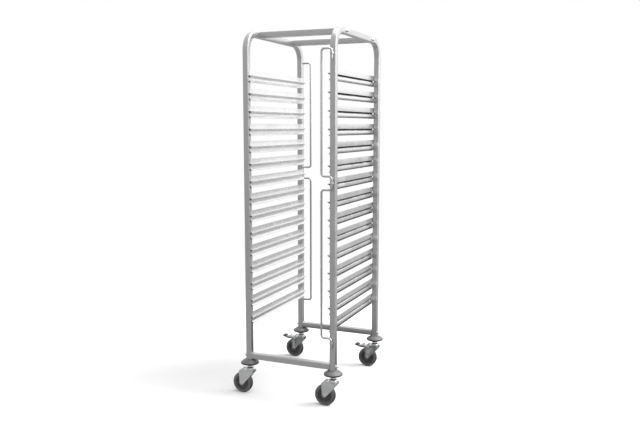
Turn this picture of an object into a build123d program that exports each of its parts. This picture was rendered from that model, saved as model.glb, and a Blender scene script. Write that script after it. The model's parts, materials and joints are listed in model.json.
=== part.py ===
from build123d import *
from math import cos, radians, sin
import os

os.makedirs("parts", exist_ok=True)

# Sheet pan rack: two bent tube side frames joined by four crossbars, fifteen
# pairs of tray runners, two swinging retaining bars and four swivel castors.
# Millimetres, +Z up. X runs across the tray opening, Y from front to back.
# The origin is on the floor, under the centre of the frame.

# --- Overall sizes -----------------------------------------------------------
rack_height = 1730.0        # floor to the top of the side frames
clear_width = 406.0         # between the inner faces of the side frames
rack_depth = 630.0          # front face to rear face of the side frames

# --- Square tube -------------------------------------------------------------
tube_size = 28.0
tube_wall = 1.5
tube_corner = 4.0           # outside corner radius
arch_radius = 82.0          # centre-line radius of the two top bends

# --- Crossbars and their bolts -----------------------------------------------
lower_bar_rise = 3.0        # lower end of an upright to a lower crossbar
upper_bar_inset = 120.0     # front face of the frame to an upper crossbar
insert_length = 30.0
insert_gap = 0.1            # play between an insert and the tube around it
bolt_radius = 4.0
bolt_gap = 0.05             # play between a bolt and what it passes through
bolt_reach = 22.0           # length of bolt inside the crossbar
washer_radius = 9.0
washer_thickness = 1.2
nut_flats = 13.0
nut_height = 4.0
dome_radius = 6.2

# --- Tray runners ------------------------------------------------------------
level_count = 15
lowest_shelf = 382.0        # floor to the lowest shelf
headroom = 208.4            # highest shelf to the top of the side frames
runner_setback = 11.0       # frame face to the end of a runner
sheet = 1.0
web_above = 23.0            # web above the shelf
shelf_reach = 16.0          # how far the shelf stands in from the web
shelf_drop = 11.0           # height of the folded bead under the shelf
guide_drop = 32.0           # shelf to the underside of the lower bead
guide_reach = 9.5
guide_rise = 10.0           # height of the lower bead
sheet_bend = 0.2            # inside bend radius of the sheet

# --- Retaining bars ----------------------------------------------------------
rod_radius = 5.0
rod_bend = 13.0
rod_standoff = 5.0          # frame face to the surface of the rod
loop_reach = 49.0           # pivot axis to the long runs of the loops
loop_top_drop = 104.0       # top of the side frames to the upper loop
upper_loop_height = 559.0
loop_gap = 61.0             # between the upper and the lower loop
loop_foot_rise = 155.0      # lower end of an upright to the lower loop
eye_inset = 21.5            # end of a loop to the eye beyond it
rod_tail = 28.5             # last eye to the end of the rod
eye_length = 9.0
eye_wall = 3.5
lug_inset = 2.0             # side of the eye's ring to the side of its lug
hinge_gap = 0.08            # running clearance of a rod in its eye

# --- Castors -----------------------------------------------------------------
wheel_radius = 50.0
wheel_width = 26.0
tyre_depth = 14.0
tyre_shoulder = 8.5         # radius between the tread and a side wall
groove_radius = 0.9         # ring pressed into each side wall
groove_rise = 3.5           # tyre's bore to that ring
hub_rim = 4.0
hub_barrel = 6.0            # wall of the hub around its spacer
hub_web = 10.0
hub_ring = 2.0              # radius of the ring moulded on each side of the web
trail = 39.0                # swivel axis to wheel axis
wheel_gap = 2.5             # wheel to a side plate of the fork
plate = 2.5                 # sheet thickness of a fork
crown_gap = 16.5            # tyre to the underside of the crown
crown_reach = 23.0          # swivel axis to the front of the crown
crown_setback = 27.0        # swivel axis to the slot behind the crown
ear_rise = 2.5              # crown to the top of the ears behind it
ear_reach = 14.5            # wheel axis to the rear edge of the ears
fork_shoulder = 13.0        # depth of a side plate's square shoulders
axle_boss = 10.5            # radius of a side plate around the axle
axle_radius = 4.0
axle_thread = 3.0           # thread that stands out of the axle nut
spacer_wall = 2.0
stem_radius = 6.0
stem_head = 10.5            # radius of the head under the crown
stem_head_height = 4.0
race_radius = 21.5
race_rise = 13.0            # top of the crown to the top of the domed race
race_ceiling = 6.0          # top of the crown to the roof over the balls
race_edge = 1.5             # wall of the race outside the balls
ball_radius = 2.95
ball_circle = 15.0
ball_count = 12
running_gap = 0.08          # radial clearance of a shaft that turns
fixed_gap = 0.1             # radial clearance of a shaft that is clamped
part_gap = 0.3              # between pieces that move past each other
neck_radius = 10.0
neck_length = 6.0           # race to the bumper
plug_length = 45.0
stem_clearance = 1.5        # top of the stem to the bolt that crosses above it

# --- Bumpers -----------------------------------------------------------------
bumper_radius = 44.0
bumper_height = 34.0
bumper_rim_rise = 16.0      # underside of the bumper to its widest line
bumper_edge = 3.0           # depth of the rounded rim
bumper_seat = 14.0          # radius of the flat underside
bumper_lip = 6.5            # how far the collar stands out from the upright
bumper_crown = 1.2          # bulge of the upper side

# --- Brakes of the rear castors ----------------------------------------------
brake_rise = 5.5            # tyre to the pedal's pivot
brake_pin_radius = 3.0
brake_barrel = 5.0
brake_gap = 2.5             # pedal to a side plate of the fork
brake_travel = 15.0         # degrees from released to braked
brake_clearance = 0.4       # shoe to tyre with the pedal down
pedal_crest = (22.0, 14.0)  # reach from the pivot and rise above it
pedal_dip = (46.0, 6.0)
pedal_tip = (68.0, 8.5)
pedal_heel = 8.0            # depth of the pedal's sides at the dip
pedal_skirt = 9.0           # pivot to the lower edge of the pedal's sides
pedal_window = (11.0, 13.0) # opening in the top of the pedal, along and across
pad_length = 18.0
pad_thickness = 4.5
pad_overhang = 4.0          # pad beyond each side of the pedal
pad_rounding = 1.2
boss_radius = 12.5
boss_height = 3.5
boss_taper = 25.0           # degrees

# --- Values worked out from the sizes above ----------------------------------
rack_width = clear_width + 2 * tube_size
half_width = rack_width / 2
half_clear = clear_width / 2
half_depth = rack_depth / 2
upright_x = half_width - tube_size / 2
upright_y = half_depth - tube_size / 2
tube_bore = tube_size - 2 * tube_wall
bore_corner = tube_corner - tube_wall
crown_height = 2 * wheel_radius + crown_gap + plate
race_height = crown_height + race_rise
bumper_bottom = race_height + neck_length
foot_height = bumper_bottom + bumper_height
top_axis_z = rack_height - tube_size / 2
lower_bar_z = foot_height + lower_bar_rise + tube_size / 2
upper_bar_y = half_depth - upper_bar_inset - tube_size / 2
level_pitch = (rack_height - headroom - lowest_shelf) / (level_count - 1)
shelf_heights = [lowest_shelf + level_pitch * i for i in range(level_count)]
crossbar_places = {
    "lower_front": (-upright_y, lower_bar_z),
    "lower_rear": (upright_y, lower_bar_z),
    "upper_front": (-upper_bar_y, top_axis_z),
    "upper_rear": (upper_bar_y, top_axis_z),
}
corners = {
    "front_left": (-upright_x, -upright_y),
    "front_right": (upright_x, -upright_y),
    "rear_left": (-upright_x, upright_y),
    "rear_right": (upright_x, upright_y),
}
braked_corners = ("rear_left", "rear_right")
fork_gap = wheel_width + 2 * wheel_gap
fork_half = fork_gap / 2 + plate
spacer_radius = axle_radius + spacer_wall
brake_x = -trail
brake_height = 2 * wheel_radius + brake_rise
brake_width = fork_gap - 2 * brake_gap
stem_top = lower_bar_z - bolt_radius - stem_clearance


def save(part, name):
    """Label a finished piece and write it to its own file."""
    part.label = name
    export_step(part, f"parts/{name}.step")


def gather(pieces, name):
    """Write several separate solids as one node."""
    save(Compound(children=list(pieces)), name)


# --- Side frames -------------------------------------------------------------
def side_frame(side):
    """One bent tube: front upright, top run and rear upright."""
    x = side * upright_x
    with BuildPart() as frame:
        with BuildLine(Plane.YZ.offset(x)) as path:
            FilletPolyline(
                (-upright_y, foot_height),
                (-upright_y, top_axis_z),
                (upright_y, top_axis_z),
                (upright_y, foot_height),
                radius=arch_radius,
            )
        foot = Plane(origin=(x, -upright_y, foot_height))
        with BuildSketch(foot):
            RectangleRounded(tube_size, tube_size, tube_corner)
        sweep(path=path.line)
        with BuildSketch(foot):
            RectangleRounded(tube_bore, tube_bore, bore_corner)
        sweep(path=path.line, mode=Mode.SUBTRACT)
        bolt_holes = [(x, y, z) for y, z in crossbar_places.values()]
        with Locations(*bolt_holes):
            Cylinder(
                bolt_radius + bolt_gap,
                tube_size * 1.5,
                rotation=(0, 90, 0),
                mode=Mode.SUBTRACT,
            )
    return frame.part


for side, side_name in ((-1, "left"), (1, "right")):
    save(side_frame(side), f"side_frame_{side_name}")

# --- Crossbars ---------------------------------------------------------------
for bar_name, (bar_y, bar_z) in crossbar_places.items():
    with BuildPart() as crossbar:
        with BuildSketch(Plane(origin=(-half_clear, bar_y, bar_z), z_dir=(1, 0, 0))):
            RectangleRounded(tube_size, tube_size, tube_corner)
            RectangleRounded(tube_bore, tube_bore, bore_corner, mode=Mode.SUBTRACT)
        extrude(amount=clear_width)
    save(crossbar.part, f"crossbar_{bar_name}")

# A threaded block is pressed into each end of a crossbar, flush with the end.
with BuildPart() as insert:
    with BuildSketch(Plane.YZ):
        insert_size = tube_bore - 2 * insert_gap
        RectangleRounded(insert_size, insert_size, bore_corner - insert_gap)
        Circle(bolt_radius + bolt_gap, mode=Mode.SUBTRACT)
    extrude(amount=insert_length)

# The bolt stands on the outer face of a side frame and points along +X: a
# washer, a domed hexagon head and the shank.
with BuildPart() as bolt:
    with BuildSketch(Plane.YZ):
        Circle(bolt_radius)
    extrude(amount=tube_size + bolt_reach)
    with BuildSketch(Plane.YZ):
        Circle(washer_radius)
    extrude(amount=-washer_thickness)
    with BuildSketch(Plane.YZ.offset(-washer_thickness)):
        RegularPolygon(nut_flats / 2, 6, major_radius=False)
    extrude(amount=-nut_height)
    with Locations((-washer_thickness - nut_height, 0, 0)):
        Sphere(dome_radius)


def at_bar_ends(piece, reach):
    """Copies of a piece at both ends of every crossbar, reach from the middle."""
    copies = []
    for side, turn in ((-1, 0), (1, 180)):
        for y, z in crossbar_places.values():
            copies.append(Location((side * reach, y, z), (0, 0, turn)) * piece)
    return copies


gather(at_bar_ends(insert.part, half_clear), "crossbar_inserts")
gather(at_bar_ends(bolt.part, half_width), "crossbar_bolts")

# --- Tray runners ------------------------------------------------------------
# The runner is one folded strip. Its web lies on the side frame's inner face,
# a hollow bead carries the tray and a smaller bead stiffens the lower edge.
# In the section, Y is the distance in from the side frame and Z the height
# above the shelf, for the left-hand side.
runner_length = rack_depth - 2 * runner_setback
with BuildPart() as runner:
    with BuildSketch(Plane.XZ.offset(-runner_length / 2)):
        with BuildLine():
            half = sheet / 2
            FilletPolyline(
                (half, web_above),
                (half, -half),
                (shelf_reach - half, -half),
                (half, -shelf_drop),
                (half, guide_rise - guide_drop),
                (guide_reach - half, half - guide_drop),
                (half, half - guide_drop),
                radius=sheet_bend + half,
            )
        trace(line_width=sheet)
    extrude(amount=runner_length)

for level, shelf in enumerate(shelf_heights, start=1):
    left = Location((-half_clear, 0, shelf)) * runner.part
    right = Location((half_clear, 0, shelf), (0, 0, 180)) * runner.part
    gather([left, right], f"runner_pair_{level:02d}")

# --- Retaining bars and their eyes -------------------------------------------
# The front bar hangs on the right upright; its loops reach to the left. The
# rear bar is the same piece turned half way round the rack's vertical axis.
rod_offset = rod_radius + rod_standoff
pivot_y = -half_depth - rod_offset
run_x = upright_x - loop_reach
upper_top = rack_height - loop_top_drop
upper_bottom = upper_top - upper_loop_height
lower_top = upper_bottom - loop_gap
lower_bottom = foot_height + loop_foot_rise
eye_heights = (upper_top - eye_inset, (upper_bottom + lower_top) / 2, lower_bottom - eye_inset)
rod_top_end = eye_heights[0] - rod_tail
rod_bottom_end = eye_heights[-1] - rod_tail
eye_radius = rod_radius + eye_wall

with BuildPart() as retaining_bar:
    with BuildLine(Plane.XZ.offset(-pivot_y)) as rod_path:
        FilletPolyline(
            (upright_x, rod_top_end),
            (upright_x, upper_top),
            (run_x, upper_top),
            (run_x, upper_bottom),
            (upright_x, upper_bottom),
            (upright_x, lower_top),
            (run_x, lower_top),
            (run_x, lower_bottom),
            (upright_x, lower_bottom),
            (upright_x, rod_bottom_end),
            radius=rod_bend,
        )
    with BuildSketch(Plane(origin=(upright_x, pivot_y, rod_top_end))):
        Circle(rod_radius)
    sweep(path=rod_path.line)

with BuildPart() as eyes:
    for height in eye_heights:
        with BuildSketch(Plane(origin=(upright_x, pivot_y, height - eye_length / 2))):
            Circle(eye_radius)
            with Locations((0, rod_offset / 2)):
                Rectangle(2 * (eye_radius - lug_inset), rod_offset)
            Circle(rod_radius + hinge_gap, mode=Mode.SUBTRACT)
        extrude(amount=eye_length)

half_turn = Location((0, 0, 0), (0, 0, 180))
save(retaining_bar.part, "retaining_bar_front")
save(half_turn * retaining_bar.part, "retaining_bar_rear")
save(eyes.part, "hinge_eyes_front")
save(half_turn * eyes.part, "hinge_eyes_rear")

# --- Castors -----------------------------------------------------------------
# Every castor piece is made once, with the swivel axis on the origin's Z axis
# and the wheel trailing towards -X, and then copied to the four corners.
wheel_side = Plane(origin=(-trail, 0, wheel_radius), x_dir=(0, 1, 0), z_dir=(1, 0, 0))
wheel_axis = Axis((-trail, 0, wheel_radius), (0, 1, 0))

# The stem is a kingpin: its head is under the crown and it carries the race,
# a shallow cup whose rim closes over the balls.
pin_head = crown_height - plate - part_gap
race_bore = race_radius - race_edge
race_roof = crown_height + race_ceiling
with BuildPart() as stem:
    with BuildSketch(Plane.XZ):
        with BuildLine():
            Polyline(
                (0, pin_head - stem_head_height),
                (stem_head - 1.5, pin_head - stem_head_height),
                (stem_head, pin_head - stem_head_height + 1.5),
                (stem_head, pin_head),
                (stem_radius, pin_head),
                (stem_radius, race_roof),
                (race_bore, race_roof),
                (race_bore, crown_height + part_gap),
                (race_radius, crown_height + part_gap),
                (race_radius, race_roof - race_edge),
            )
            SagittaArc((race_radius, race_roof - race_edge), (neck_radius, race_height), -2 * race_edge)
            Polyline(
                (neck_radius, race_height),
                (neck_radius, bumper_bottom),
                (stem_radius, bumper_bottom),
                (stem_radius, stem_top),
                (0, stem_top),
                (0, pin_head - stem_head_height),
            )
        make_face()
    revolve(axis=Axis.Z)

# A square plug fills the foot of the upright and holds the stem. The bolt of
# the lower crossbar passes through it and keeps it in place.
with BuildPart() as plug:
    plug_size = tube_bore - 2 * fixed_gap
    with BuildSketch(Plane.XY.offset(foot_height)):
        RectangleRounded(plug_size, plug_size, bore_corner - fixed_gap)
    extrude(amount=plug_length)
    with BuildSketch(Plane.XY.offset(foot_height)):
        Circle(stem_radius + fixed_gap)
    extrude(amount=stem_top - foot_height + 1, mode=Mode.SUBTRACT)
    with Locations((0, 0, lower_bar_z)):
        Cylinder(bolt_radius + bolt_gap, 100, rotation=(0, 90, 0), mode=Mode.SUBTRACT)

with BuildPart() as balls:
    with Locations((0, 0, (crown_height + race_roof) / 2)):
        with PolarLocations(ball_circle, ball_count):
            Sphere(ball_radius)

# The fork is pressed from one sheet: a round crown, two side plates that taper
# to the axle, and ears behind the crown that stand free of it at a slot.
ear_back = -trail - ear_reach
slot_width = 2.0
crown_back = -crown_setback
ear_front = crown_back - slot_width
ear_height = crown_height + ear_rise
crown_underside = crown_height - plate
panel_depth = 0.7
panel_margin = 3.5


def fork_outline():
    """Side view of the fork: a hull around the axle boss, the ear and the crown."""
    with BuildSketch(mode=Mode.PRIVATE) as outline:
        with BuildLine():
            CenterArc((-trail, wheel_radius), axle_boss, 180, 180)
            Polyline(
                (ear_back, ear_height - fork_shoulder),
                (-trail, ear_height),
                (ear_front, ear_height),
            )
            Line((crown_reach, crown_height - fork_shoulder), (crown_reach, crown_height))
        make_hull()
    return outline.sketch


def fork_part(braked):
    """A fork; a braked one has holes for the pedal's pivot in its ears."""
    with BuildPart() as fork:
        with BuildSketch(Plane.XZ.offset(-fork_half)):
            add(fork_outline())
            with Locations((ear_front, crown_height - 9)):
                Rectangle(slot_width, 20, align=Align.MIN, mode=Mode.SUBTRACT)
            with Locations((crown_back, crown_height)):
                Rectangle(100, 20, align=Align.MIN, mode=Mode.SUBTRACT)
        extrude(amount=2 * fork_half)
        along = fork.edges().filter_by(Axis.X)
        crown_rims = along.filter_by_position(Axis.Z, crown_height - 1, crown_height + 1)
        fillet(crown_rims, plate - 0.5)
        with BuildSketch(Plane.XY.offset(crown_underside)):
            Circle(crown_reach - 2)
        extrude(amount=plate)
        with Locations((0, 0, crown_underside)):
            below = (Align.CENTER, Align.CENTER, Align.MAX)
            Box(200, fork_gap, 200, align=below, mode=Mode.SUBTRACT)
        with Locations((crown_back, 0, crown_underside - 1)):
            behind = (Align.MAX, Align.CENTER, Align.MIN)
            Box(100, fork_gap, 50, align=behind, mode=Mode.SUBTRACT)
        for face in (-1, 1):
            with BuildSketch(Plane.XZ.offset(face * fork_half)):
                offset(fork_outline(), amount=-panel_margin)
                with Locations((0, crown_height - 12)):
                    Rectangle(200, 50, align=(Align.CENTER, Align.MIN), mode=Mode.SUBTRACT)
                with Locations((-trail, wheel_radius)):
                    Circle(axle_boss - panel_margin, mode=Mode.SUBTRACT)
            extrude(amount=-face * panel_depth, mode=Mode.SUBTRACT)
        with Locations((0, 0, crown_height)):
            Cylinder(stem_radius + running_gap, 4 * plate, mode=Mode.SUBTRACT)
        with Locations((-trail, 0, wheel_radius)):
            Cylinder(axle_radius + fixed_gap, 100, rotation=(90, 0, 0), mode=Mode.SUBTRACT)
        if braked:
            with Locations((brake_x, 0, brake_height)):
                Cylinder(
                    brake_pin_radius + fixed_gap, 100, rotation=(90, 0, 0), mode=Mode.SUBTRACT
                )
    return fork.part


# The axle is a bolt with a spacer that the fork clamps and the hub turns on.
with BuildPart() as axle_bolt:
    with BuildSketch(Plane.XZ.offset(-fork_half)):
        with Locations((-trail, wheel_radius)):
            Circle(axle_radius)
    extrude(amount=2 * fork_half + 1)
    with BuildSketch(Plane.XZ.offset(fork_half)):
        with Locations((-trail, wheel_radius)):
            RegularPolygon(nut_flats / 2, 6, major_radius=False)
    extrude(amount=nut_height)
    chamfer(axle_bolt.faces().sort_by(Axis.Y)[0].edges(), 0.8)
    with BuildSketch(Plane.XZ.offset(-fork_half - nut_height - axle_thread)):
        with Locations((-trail, wheel_radius)):
            Circle(axle_radius)
    extrude(amount=nut_height + axle_thread)

with BuildPart() as axle_nut:
    with BuildSketch(Plane.XZ.offset(-fork_half)):
        with Locations((-trail, wheel_radius)):
            RegularPolygon(nut_flats / 2, 6, major_radius=False)
            Circle(axle_radius + bolt_gap, mode=Mode.SUBTRACT)
    extrude(amount=-nut_height)

with BuildPart() as spacer:
    with BuildSketch(Plane.XZ.offset(-fork_gap / 2)):
        with Locations((-trail, wheel_radius)):
            Circle(spacer_radius)
            Circle(axle_radius + fixed_gap, mode=Mode.SUBTRACT)
    extrude(amount=fork_gap)

# The wheel's sections are drawn with X along the axle and Y away from it.
tyre_bore = wheel_radius - tyre_depth
half_wheel = wheel_width / 2
hub_half = fork_gap / 2 - part_gap
outwards = (Align.CENTER, Align.MIN)
inwards = (Align.CENTER, Align.MAX)
with BuildPart() as tyre:
    with BuildSketch(wheel_side) as tyre_section:
        with Locations((0, tyre_bore)):
            Rectangle(wheel_width, tyre_depth, align=outwards)
        fillet(tyre_section.vertices().group_by(Axis.Y)[-1], tyre_shoulder)
        for face in (-1, 1):
            with Locations((face * half_wheel, tyre_bore + groove_rise)):
                Circle(groove_radius, mode=Mode.SUBTRACT)
    revolve(axis=wheel_axis)

hub_bore = spacer_radius + running_gap
with BuildPart() as hub:
    with BuildSketch(wheel_side):
        with Locations((0, tyre_bore)):
            Rectangle(wheel_width, hub_rim, align=inwards)
        with Locations((0, hub_bore)):
            Rectangle(2 * hub_half, hub_barrel, align=outwards)
            Rectangle(hub_web, tyre_bore - hub_rim / 2 - hub_bore, align=outwards)
        with Locations((0, (tyre_bore + hub_bore) / 2)):
            SlotOverall(hub_web + 2 * hub_ring, 2 * hub_ring)
    revolve(axis=wheel_axis)

# --- Bumpers -----------------------------------------------------------------
with BuildPart() as bumper:
    bore = stem_radius + part_gap
    collar = tube_size / 2 + bumper_lip
    widest = bumper_bottom + bumper_rim_rise
    edge = bumper_radius - bumper_edge
    with BuildSketch(Plane.XZ):
        with BuildLine():
            Polyline((bore, foot_height), (bore, bumper_bottom), (bumper_seat, bumper_bottom))
            Line((bumper_seat, bumper_bottom), (edge, widest - 1.5 * bumper_edge))
            ThreePointArc(
                (edge, widest - 1.5 * bumper_edge),
                (bumper_radius, widest),
                (edge, widest + 1.5 * bumper_edge),
            )
            SagittaArc((edge, widest + 1.5 * bumper_edge), (collar, foot_height), -bumper_crown)
            Line((collar, foot_height), (bore, foot_height))
        make_face()
    revolve(axis=Axis.Z)

# --- Brakes ------------------------------------------------------------------
# The pedal is a pressed channel that turns on a pin between the ears. With
# the pedal down its underside fits the tyre; the cuts below are the tyre's
# outline, once as it is and once carried back from the pedal's lowest position.
def pedal_point(place, lift=0.0):
    """A point given by its reach behind the pivot and its rise above it."""
    reach, rise = place
    return (brake_x - reach, brake_height + rise + lift)


swing = radians(brake_travel)
drop = brake_height - wheel_radius
tyre_seen = (brake_x - drop * sin(swing), brake_height - drop * cos(swing))
below_wheel = (brake_x - pedal_tip[0] + pad_length / 2, wheel_radius)
pedal_slope = (pedal_tip[1] - pedal_dip[1]) / (pedal_tip[0] - pedal_dip[0])
pad_heel = (pedal_tip[0] - pad_length, pedal_tip[1] - pedal_slope * pad_length)
with BuildPart() as pedal:
    with BuildSketch(Plane.XZ.offset(-brake_width / 2)):
        with BuildLine():
            Polyline(
                pedal_point((0, brake_barrel)),
                pedal_point(pedal_crest),
                pedal_point(pedal_dip),
                pedal_point(pedal_tip),
                pedal_point(pedal_tip, -plate),
                pedal_point(pedal_dip, -pedal_heel),
                pedal_point((brake_barrel, -pedal_skirt)),
                pedal_point((0, -brake_barrel)),
                close=True,
            )
        make_face()
        with Locations((brake_x, brake_height)):
            Circle(brake_barrel)
        with Locations((-trail, wheel_radius), tyre_seen):
            Circle(wheel_radius + brake_clearance, mode=Mode.SUBTRACT)
    extrude(amount=brake_width)
    with BuildSketch(Plane.XZ.offset(-brake_width / 2 + plate)):
        with BuildLine():
            Polyline(
                pedal_point(pedal_crest, -plate),
                pedal_point(pedal_dip, -plate),
                pedal_point(pad_heel, -plate),
                below_wheel,
                (brake_x - pedal_crest[0], wheel_radius),
                close=True,
            )
        make_face()
    extrude(amount=brake_width - 2 * plate, mode=Mode.SUBTRACT)
    with Locations((brake_x - pedal_crest[0], 0, brake_height + pedal_crest[1])):
        Box(*pedal_window, 4 * plate, mode=Mode.SUBTRACT)
    with Locations((brake_x, 0, brake_height)):
        Cylinder(
            brake_pin_radius + running_gap, 100, rotation=(90, 0, 0), mode=Mode.SUBTRACT
        )

with BuildPart() as pedal_pad:
    with BuildSketch(Plane.XZ.offset(-brake_width / 2 - pad_overhang)):
        with BuildLine():
            Polyline(
                pedal_point(pedal_tip),
                pedal_point(pad_heel),
                pedal_point(pad_heel, pad_thickness),
                pedal_point(pedal_tip, pad_thickness),
                close=True,
            )
        make_face()
    extrude(amount=brake_width + 2 * pad_overhang)
    fillet(pedal_pad.edges().filter_by(Axis.Y), pad_rounding)

with BuildPart() as brake_pin:
    with BuildSketch(Plane.XZ.offset(-fork_half)):
        with Locations((brake_x, brake_height)):
            Circle(brake_pin_radius)
    extrude(amount=2 * fork_half)
    for face in (-1, 1):
        with BuildSketch(Plane.XZ.offset(face * fork_half)):
            with Locations((brake_x, brake_height)):
                Circle(boss_radius)
        extrude(amount=face * boss_height, taper=boss_taper)

# --- Castor assemblies -------------------------------------------------------
for corner, (x, y) in corners.items():
    place = Location((x, y, 0))
    braked = corner in braked_corners
    save(place * stem.part, f"castor_stem_{corner}")
    save(place * fork_part(braked), f"castor_fork_{corner}")
    save(place * tyre.part, f"castor_tyre_{corner}")
    save(place * hub.part, f"castor_hub_{corner}")
    axle_pieces = (axle_bolt.part, axle_nut.part, spacer.part)
    gather([place * piece for piece in axle_pieces], f"castor_axle_{corner}")
    save(place * bumper.part, f"bumper_{corner}")
    if braked:
        save(place * pedal.part, f"brake_pedal_{corner}")
        save(place * pedal_pad.part, f"pedal_pad_{corner}")
        save(place * brake_pin.part, f"brake_pin_{corner}")

places = [Location((x, y, 0)) for x, y in corners.values()]
gather([place * plug.part for place in places], "stem_plugs")
gather([place * ball for place in places for ball in balls.part.solids()], "swivel_balls")
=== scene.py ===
# %% [markdown]
# # A sheet pan rack in stainless steel
#
# The rack is two bent square tubes joined by four crossbars. Fifteen pairs of
# folded runners carry the trays, a bent rod at each end keeps them in, and the
# whole frame rolls on four swivel castors, the rear two with brakes.
#
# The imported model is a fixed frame: it says where every piece is and how it
# moves. This file gives those pieces their finished surfaces and materials.

# %% Load the frame
import json
import math

import bpy
import bmesh
import numpy as np
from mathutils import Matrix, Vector


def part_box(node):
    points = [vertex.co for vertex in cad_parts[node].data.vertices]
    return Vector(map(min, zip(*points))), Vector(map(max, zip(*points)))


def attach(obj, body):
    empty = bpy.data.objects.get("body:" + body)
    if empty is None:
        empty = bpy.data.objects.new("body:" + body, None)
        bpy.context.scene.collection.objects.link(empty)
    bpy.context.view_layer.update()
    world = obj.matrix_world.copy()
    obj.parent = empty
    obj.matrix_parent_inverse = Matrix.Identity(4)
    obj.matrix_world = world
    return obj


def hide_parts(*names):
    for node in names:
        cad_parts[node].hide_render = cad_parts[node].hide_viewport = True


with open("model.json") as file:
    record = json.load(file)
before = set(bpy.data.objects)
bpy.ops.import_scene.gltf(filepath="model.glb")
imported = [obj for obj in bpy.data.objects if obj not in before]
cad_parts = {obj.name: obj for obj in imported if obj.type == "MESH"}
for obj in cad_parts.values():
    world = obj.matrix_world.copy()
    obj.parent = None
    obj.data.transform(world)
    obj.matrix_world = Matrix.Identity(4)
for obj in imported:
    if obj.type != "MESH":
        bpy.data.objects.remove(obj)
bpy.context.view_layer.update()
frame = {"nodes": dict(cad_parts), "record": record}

MM = 0.001
print("pieces in the frame:", len(frame["nodes"]))

# %% [markdown]
# ## What the frame tells us
#
# Only a few sizes are typed in below, the ones that a bounding box can't show:
# the wall of a tube, the radius of a bend, the folds of a runner. Every place
# comes from the frame itself, so nothing has to be fitted by eye.

# %% Sizes that the boxes don't show, in metres
TUBE_CORNER = 4.0 * MM
TUBE_WALL = 1.5 * MM
ARCH_RADIUS = 82.0 * MM

SHEET = 1.0 * MM
WEB_ABOVE = 23.0 * MM
SHELF_DROP = 11.0 * MM
SHELF_REACH = 16.0 * MM
BEAD_TOP = 22.0 * MM
BEAD_LOW = 32.0 * MM
BEAD_REACH = 9.5 * MM
FOLD_RADIUS = 0.7 * MM

ROD_BEND = 13.0 * MM
UPPER_LOOP = 559.0 * MM
LOOP_GAP = 61.0 * MM
ROD_TAIL = 50.0 * MM

TYRE_DEPTH = 14.0 * MM
TYRE_RING = np.array([12.0, 11.0, 9.5, 8.5]) * MM  # the ring's edges, in from the tread
TYRE_RING_DEPTH = 1.4 * MM
TYRE_SOFTNESS = [0.3, 0.5, 0.4, 0.4, 0.5, 7.2]  # mm, from the bore out to the shoulder

HUB_BORE = 6.2 * MM
HUB_BOSS = 12.0 * MM
# each is a radius and a setback from the tyre's side, in mm
HUB_RINGS = [(13.5, 4.0), (16.0, 7.0), (21.0, 7.0), (22.5, 4.5), (25.0, 4.5), (26.5, 7.0)]
HUB_DISH = 7.0 * MM
HUB_FLANGE = 4.0 * MM
HUB_FLANGE_FOOT = 5.5 * MM

BUMPER_BORE = 6.3 * MM
BUMPER_COLLAR = 6.5 * MM  # how far the top stands out round the tube
BUMPER_BULGE = 1.2 * MM
RIM_HEIGHT = 16.0 * MM  # from the underside to the middle of the rim
RIM_HALF = 4.5 * MM
RIM_ROUND = 3.0 * MM
NECK_RADIUS = 13.2 * MM
TAPER_RADIUS = 14.4 * MM  # where the underside starts to widen towards the rim
TAPER_RISE = 0.4 * MM
TOP_CHAMFER_ACROSS = 0.8 * MM
TOP_CHAMFER_DOWN = 0.6 * MM

CORNERS = ("front_left", "front_right", "rear_left", "rear_right")
BRAKED = ("rear_left", "rear_right")


# %% Reading a node's box
def span(node):
    """A node's lowest and highest corner as two numpy arrays, in metres."""
    low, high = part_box(node)
    return np.array(low), np.array(high)


frame_low, frame_high = span("side_frame_right")
tube = frame_high[0] - frame_low[0]
runner_nodes = sorted(n for n in frame["nodes"] if n.startswith("runner_pair"))
shelf_heights = sorted(span(n)[1][2] - WEB_ABOVE for n in runner_nodes)
level_pitch = shelf_heights[1] - shelf_heights[0]
print(f"tube {tube:.4f} m, shelves from {shelf_heights[0]:.3f} m, {level_pitch:.4f} m apart")

# %% [markdown]
# ## Camera
#
# The view is that of a catalogue picture: from the front and a little to the
# right, at about chest height, through a moderately long lens. The camera
# stands well back so that the uprights stay nearly parallel, and it looks
# slightly down.


# %% Make the camera
def add_object(name, data):
    """A new object in the scene that shows data."""
    made = bpy.data.objects.new(name, data)
    bpy.context.scene.collection.objects.link(made)
    return made


camera_data = bpy.data.cameras.new("catalogue_camera")
camera = add_object("catalogue_camera", camera_data)
camera_data.lens = 40.34
camera_data.sensor_width = 36.0
camera.location = (1.402, -3.2715, 1.286)
LOOK_DOWN = math.radians(6.89)
LOOK_LEFT = math.radians(22.84)
camera.rotation_euler = (math.pi / 2 - LOOK_DOWN, 0, LOOK_LEFT)
bpy.context.scene.camera = camera

# %% [markdown]
# ## Light
#
# Bare steel has hardly any colour of its own: it shows what stands round it.
# So the light is built as a studio, not as a lamp. The world is a smooth
# gradient that is brightest to the right and behind and dull in front, which
# leaves the front faces of the tubes mid grey and the right-hand ones nearly
# white. The world looks plain white where the camera sees it directly.


# %% A small helper for wiring nodes
def wire(tree, kind, inputs=None, **settings):
    """Adds a node, sets its properties and its inputs, and returns it.

    An input given as a socket is linked, anything else is set as its value."""
    node = tree.nodes.new(kind)
    for key, value in settings.items():
        setattr(node, key, value)
    for key, value in (inputs or {}).items():
        if isinstance(value, bpy.types.NodeSocket):
            tree.links.new(value, node.inputs[key])
        else:
            node.inputs[key].default_value = value
    return node


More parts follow.
